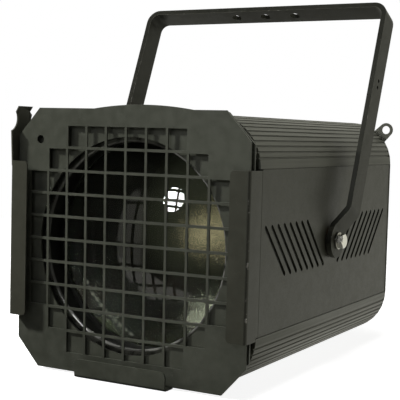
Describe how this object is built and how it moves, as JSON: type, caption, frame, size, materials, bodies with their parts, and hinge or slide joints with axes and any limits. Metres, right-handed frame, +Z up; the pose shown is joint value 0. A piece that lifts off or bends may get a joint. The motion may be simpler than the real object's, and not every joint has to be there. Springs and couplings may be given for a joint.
{
  "type": "plano-convex spotlight",
  "caption": "Plano-convex stage spotlight: ribbed black casings, punched mesh guard over the lens, tilting yoke and a lamp carriage focused from the rear.",
  "frame": {"origin": "middle of the underside of the channel below the front plate, in the plane of the guard's front", "axes": "+X to the right seen from the front, +Y from the lens to the rear, +Z up"},
  "size_m": [0.2374, 0.2906, 0.2792],
  "materials": {
    "coat": "satin black powder coat on folded sheet steel",
    "casing": "satin black coat on extruded aluminium",
    "steel": "bright zinc plate",
    "brass": "turned, plain",
    "bright": "polished",
    "plastic": "moulded, matt black",
    "rubber": "soft black",
    "fibre": "pressed fibre",
    "ceramic": "unglazed steatite",
    "glass": "clear, pebbled on the lens's flat back"
  },
  "bodies": {
    "housing": {"baffle_left": "coat", "baffle_right": "coat", "bottom_casing": "casing", "friction_disc_left": "fibre", "friction_disc_right": "fibre", "front_bracket": "coat", "front_plate": "coat", "front_screw_1": "steel", "front_screw_2": "steel", "front_screw_3": "steel", "front_screw_4": "steel", "front_spacer_1": "steel", "front_spacer_2": "steel", "front_spacer_3": "steel", "front_spacer_4": "steel", "gland_body": "plastic", "gland_dome_nut": "plastic", "gland_locknut": "plastic", "gland_seal": "rubber", "guide_rod_left": "steel", "guide_rod_right": "steel", "lens": "glass", "lens_retainer": "coat", "lens_rim": "bright", "lens_seat": "coat", "lens_tube": "coat", "light_trap": "coat", "pivot_bolt": "steel", "pivot_nut_left": "steel", "pivot_nut_right": "steel", "pivot_washer_left": "steel", "pivot_washer_right": "steel", "rear_plate": "coat", "rear_screw_1": "steel", "rear_screw_2": "steel", "rear_screw_3": "steel", "rear_screw_4": "steel", "safety_eye": "coat", "safety_eye_nut": "steel", "safety_eye_screw": "steel", "side_panel_left": "coat", "side_panel_right": "coat", "terminal_block": "ceramic", "top_casing": "casing"},
    "guard": {"guard": "coat"},
    "yoke": {"yoke": "coat"},
    "tilt_lock": {"tilt_knob": "plastic", "tilt_stud": "steel"},
    "focus_carriage": {"carriage": "steel", "guide_tube_left": "brass", "guide_tube_right": "brass", "screw_nut": "brass", "reflector": "bright", "reflector_rivet": "steel", "lampholder": "ceramic", "lamp_base": "ceramic", "lamp_envelope": "glass"},
    "focus_drive": {"lead_screw": "steel", "screw_collar": "brass", "focus_knob": "plastic"}
  },
  "joints": [
    {"name": "guard_lift", "type": "slide", "parent": "housing", "child": "guard", "axis": [0, -0.0148, 0.9999], "range_m": [0, 0.15]},
    {"name": "yoke_swing", "type": "hinge", "parent": "housing", "child": "yoke", "pos_m": [0, 0.1344, 0.0947], "axis": [1, 0, 0], "range_deg": [-87.5, 132.5]},
    {"name": "tilt_turn", "type": "hinge", "parent": "housing", "child": "tilt_lock", "pos_m": [0, 0.1344, 0.0947], "axis": [1, 0, 0], "range_deg": [-180, 30]},
    {"name": "carriage_slide", "type": "slide", "parent": "housing", "child": "focus_carriage", "axis": [0, 1, 0], "range_m": [-0.055, 0.055]},
    {"name": "focus_turn", "type": "hinge", "parent": "housing", "child": "focus_drive", "pos_m": [0, 0.2648, 0.0181], "axis": [0, 1, 0], "range_deg": [-1980, 1980]}
  ],
  "couplings": [
    {"joint": "focus_turn", "follows": "carriage_slide", "rad_per_m": -628.32}
  ]
}
